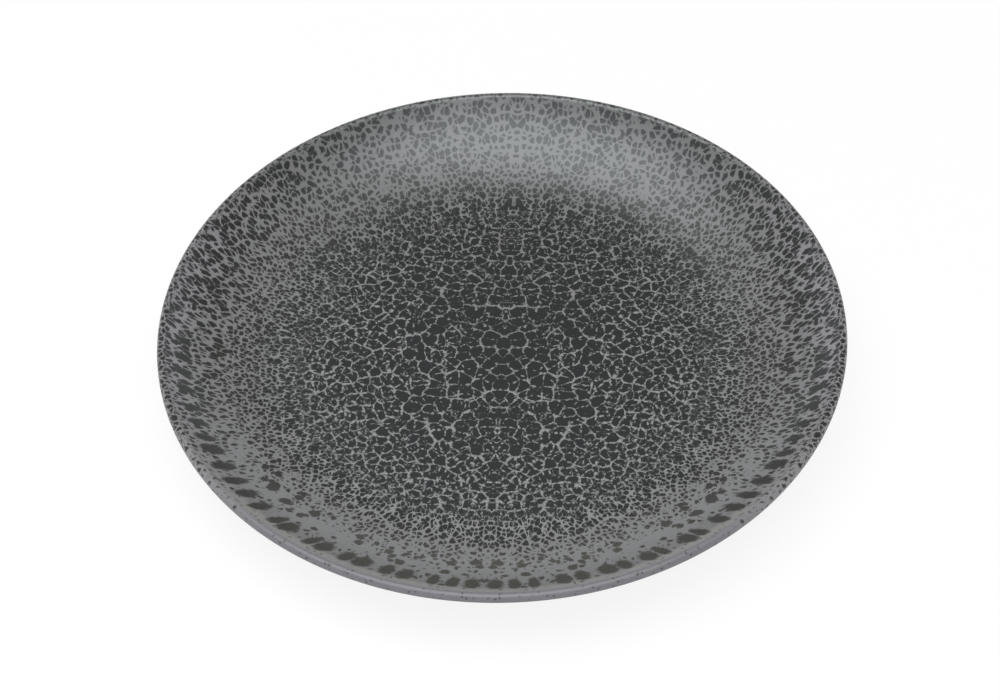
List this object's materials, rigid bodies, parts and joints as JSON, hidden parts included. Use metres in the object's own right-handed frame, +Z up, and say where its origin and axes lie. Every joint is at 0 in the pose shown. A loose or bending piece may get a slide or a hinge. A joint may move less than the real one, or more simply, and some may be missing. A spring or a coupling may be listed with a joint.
{
  "type": "coupe dinner plate",
  "caption": "Rimless round stoneware dinner plate: flat floor, curved wall, round lip, mottled dark grey glaze on the face and a bare foot ring below.",
  "frame": {"origin": "centre of the foot ring, on the table that the plate stands on", "axes": "+Z up along the plate's axis; the plate is round, so +X and +Y are any two level directions at right angles"},
  "size_m": [0.28, 0.28, 0.032],
  "materials": {
    "stoneware": "bare fired clay, matte, slightly gritty",
    "mottled_glaze": "satin glaze, charcoal cells in a light grey ground",
    "plain_glaze": "satin light grey glaze"
  },
  "bodies": {
    "root": {"stoneware_body": "stoneware", "face_glaze": "mottled_glaze", "back_glaze": "plain_glaze", "base_glaze": "plain_glaze"}
  },
  "joints": []
}
